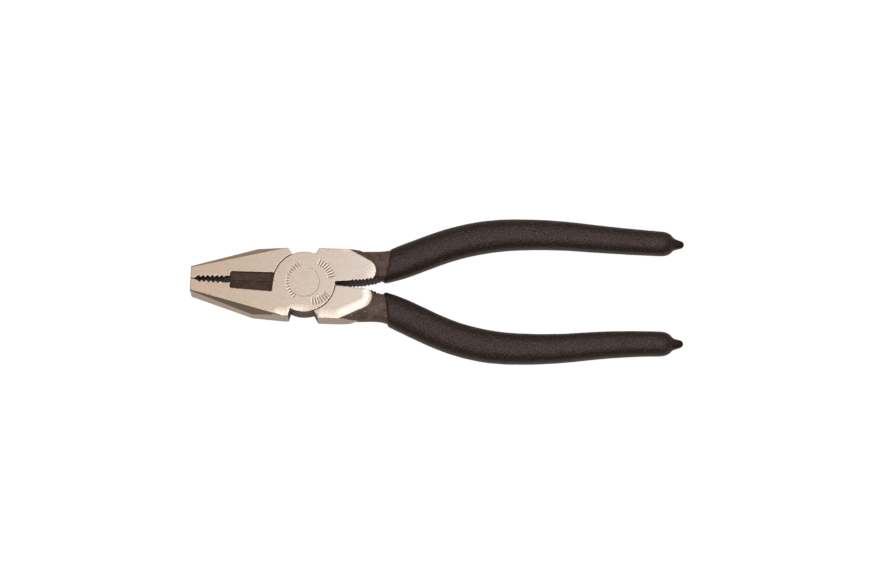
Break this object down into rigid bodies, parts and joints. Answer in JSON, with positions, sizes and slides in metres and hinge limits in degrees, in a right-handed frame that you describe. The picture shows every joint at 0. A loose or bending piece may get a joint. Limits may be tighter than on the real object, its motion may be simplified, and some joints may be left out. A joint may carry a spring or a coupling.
{
  "type": "lineman pliers",
  "caption": "Riveted lap-joint pliers with serrated jaws, side cutters and dipped vinyl grips, for gripping, twisting and cutting wire.",
  "frame": {"origin": "on the pivot axis, in the plane of the rear face of the head, which the tool lies on", "axes": "+X from the pivot towards the handles, the closed jaws meet on y = 0 with +Y towards the upper handle, +Z out of the front face"},
  "size_m": [0.2001, 0.0607, 0.011],
  "materials": {
    "ground_steel": "drop forged steel, ground bright on the faces of the head and left dark with forging scale on the shanks",
    "rivet_steel": "ground flush with the faces of the head",
    "dipped_vinyl": "dip-moulded vinyl with a fine pebbled satin surface"
  },
  "bodies": {
    "front": {"front_half": "ground_steel", "pivot_rivet": "rivet_steel", "upper_grip": "dipped_vinyl"},
    "rear": {"rear_half": "ground_steel", "lower_grip": "dipped_vinyl"}
  },
  "joints": [
    {"name": "pivot", "type": "hinge", "parent": "front", "child": "rear", "pos_m": [0, 0, 0.0055], "axis": [0, 0, -1], "range_deg": [0, 43]}
  ]
}
